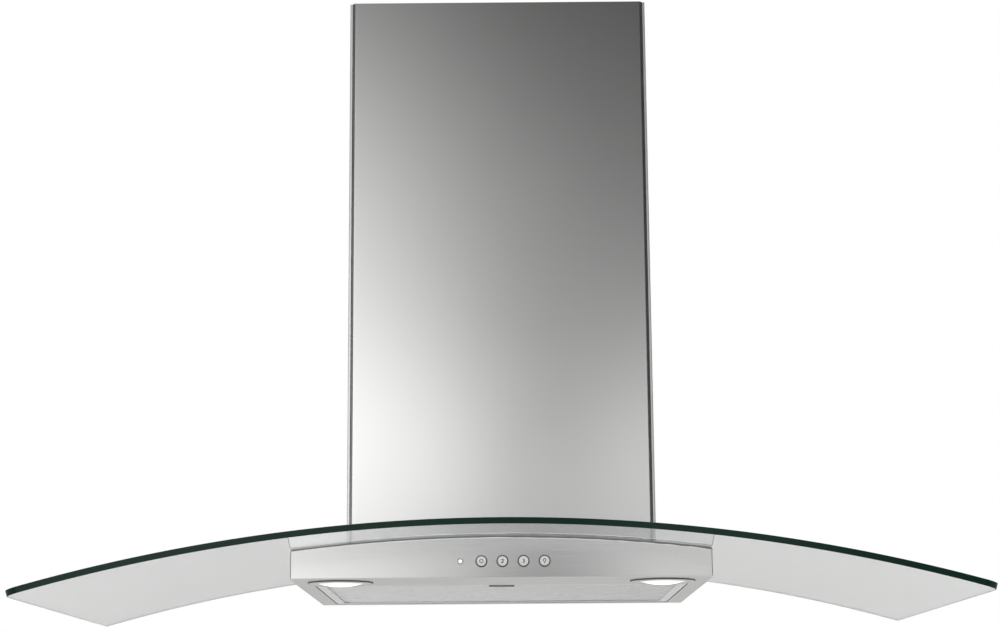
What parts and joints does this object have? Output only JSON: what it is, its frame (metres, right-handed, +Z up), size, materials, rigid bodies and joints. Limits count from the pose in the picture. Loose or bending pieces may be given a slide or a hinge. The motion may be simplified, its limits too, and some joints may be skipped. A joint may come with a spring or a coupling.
{
  "type": "curved glass range hood",
  "caption": "Wall-hung extractor hood: arched glass canopy over a shallow steel body with push-button fascia, lamps and grease filter, under a telescopic chimney.",
  "frame": {"origin": "centre of the rectangle of wall screws, on the wall plane behind the blower tower", "axes": "+X to the right seen from the front, +Y into the wall, +Z up"},
  "size_m": [0.898, 0.5, 0.6474],
  "materials": {
    "clear_glass": "polished clear float glass with green edge",
    "brushed_stainless": "fine brushed",
    "zinc_steel": "galvanised",
    "zinc_screws": "bright zinc",
    "black_rubber": "soft",
    "filter_aluminium": "satin, expanded mesh",
    "latch_plastic": "moulded",
    "spring_steel": "bright drawn",
    "lamp_chrome": "polished",
    "frosted_lens": "frosted, lit",
    "lamp_alloy": "die cast",
    "silver_button": "metallised plastic with dark sign",
    "black_plastic": "moulded",
    "pale_plastic": "moulded",
    "motor_enamel": "enamel",
    "lead_pvc": "extruded"
  },
  "bodies": {
    "hood": {"glass_canopy": "clear_glass", "control_fascia": "brushed_stainless", "hood_body": "brushed_stainless", "bottom_frame": "brushed_stainless", "lower_chimney": "brushed_stainless", "blower_tower": "zinc_steel", "canopy_bracket_left": "zinc_steel", "canopy_bracket_right": "zinc_steel", "motor_spider": "zinc_steel", "glass_screws": "zinc_screws", "glass_nuts": "zinc_screws", "fascia_screws": "zinc_screws", "tower_screws": "zinc_screws", "motor_screws": "zinc_screws", "chimney_screws": "zinc_screws", "glass_pads": "black_rubber", "glass_seal": "black_rubber", "motor_bushes": "black_rubber", "lamp_gasket_left": "black_rubber", "lamp_gasket_right": "black_rubber", "lamp_bezel_left": "lamp_chrome", "lamp_bezel_right": "lamp_chrome", "lamp_lens_left": "frosted_lens", "lamp_lens_right": "frosted_lens", "pilot_lens": "frosted_lens", "lamp_module_left": "lamp_alloy", "lamp_module_right": "lamp_alloy", "button_bezels": "black_plastic", "switch_block": "black_plastic", "terminal_box": "black_plastic", "terminal_lid": "black_plastic", "cable_gland": "black_plastic", "scroll_half_left": "pale_plastic", "scroll_half_right": "pale_plastic", "outlet_collar": "pale_plastic", "run_capacitor": "pale_plastic", "blower_motor": "motor_enamel", "lamp_lead_left": "lead_pvc", "lamp_lead_right": "lead_pvc", "control_lead": "lead_pvc", "motor_lead": "lead_pvc"},
    "grease_filter": {"filter_frame": "filter_aluminium", "filter_mesh": "filter_aluminium", "filter_pins": "zinc_screws", "latch_spring": "spring_steel"},
    "latch": {"filter_latch": "latch_plastic"},
    "chimney_extension": {"upper_chimney": "brushed_stainless", "ceiling_bracket": "zinc_steel", "ceiling_screws": "zinc_screws"},
    "blower_wheel": {"impeller": "pale_plastic", "motor_shaft": "spring_steel"},
    "flap_front": {"damper_flap_front": "pale_plastic"},
    "flap_rear": {"damper_flap_rear": "pale_plastic"},
    "key_ring": {"button_ring": "silver_button"},
    "key_two": {"button_two": "silver_button"},
    "key_three": {"button_three": "silver_button"},
    "key_lamp": {"button_lamp": "silver_button"}
  },
  "joints": [
    {"name": "filter_swing", "type": "hinge", "parent": "hood", "child": "grease_filter", "pos_m": [0, -0.0285, -0.1758], "axis": [1, 0, 0], "range_deg": [0, 75]},
    {"name": "latch_slide", "type": "slide", "parent": "grease_filter", "child": "latch", "axis": [0, 1, 0], "range_m": [0, 0.004], "stiffness_N_per_m": 400, "springref_m": -0.002, "deforming": ["latch_spring"]},
    {"name": "chimney_telescope", "type": "slide", "parent": "hood", "child": "chimney_extension", "axis": [0, 0, 1], "range_m": [0, 0.4]},
    {"name": "wheel_spin", "type": "hinge", "parent": "hood", "child": "blower_wheel", "pos_m": [0, -0.147, -0.02], "axis": [1, 0, 0], "continuous": true},
    {"name": "flap_front_lift", "type": "hinge", "parent": "hood", "child": "flap_front", "pos_m": [0, -0.09, 0.131], "axis": [-1, 0, 0], "range_deg": [0, 75]},
    {"name": "flap_rear_lift", "type": "hinge", "parent": "hood", "child": "flap_rear", "pos_m": [0, -0.082, 0.131], "axis": [1, 0, 0], "range_deg": [0, 75]},
    {"name": "push_ring", "type": "slide", "parent": "hood", "child": "key_ring", "axis": [0, 1, 0], "range_m": [0, 0.002], "stiffness_N_per_m": 300, "springref_m": -0.001},
    {"name": "push_two", "type": "slide", "parent": "hood", "child": "key_two", "axis": [0, 1, 0], "range_m": [0, 0.002], "stiffness_N_per_m": 300, "springref_m": -0.001},
    {"name": "push_three", "type": "slide", "parent": "hood", "child": "key_three", "axis": [0, 1, 0], "range_m": [0, 0.002], "stiffness_N_per_m": 300, "springref_m": -0.001},
    {"name": "push_lamp", "type": "slide", "parent": "hood", "child": "key_lamp", "axis": [0, 1, 0], "range_m": [0, 0.002], "stiffness_N_per_m": 300, "springref_m": -0.001}
  ]
}
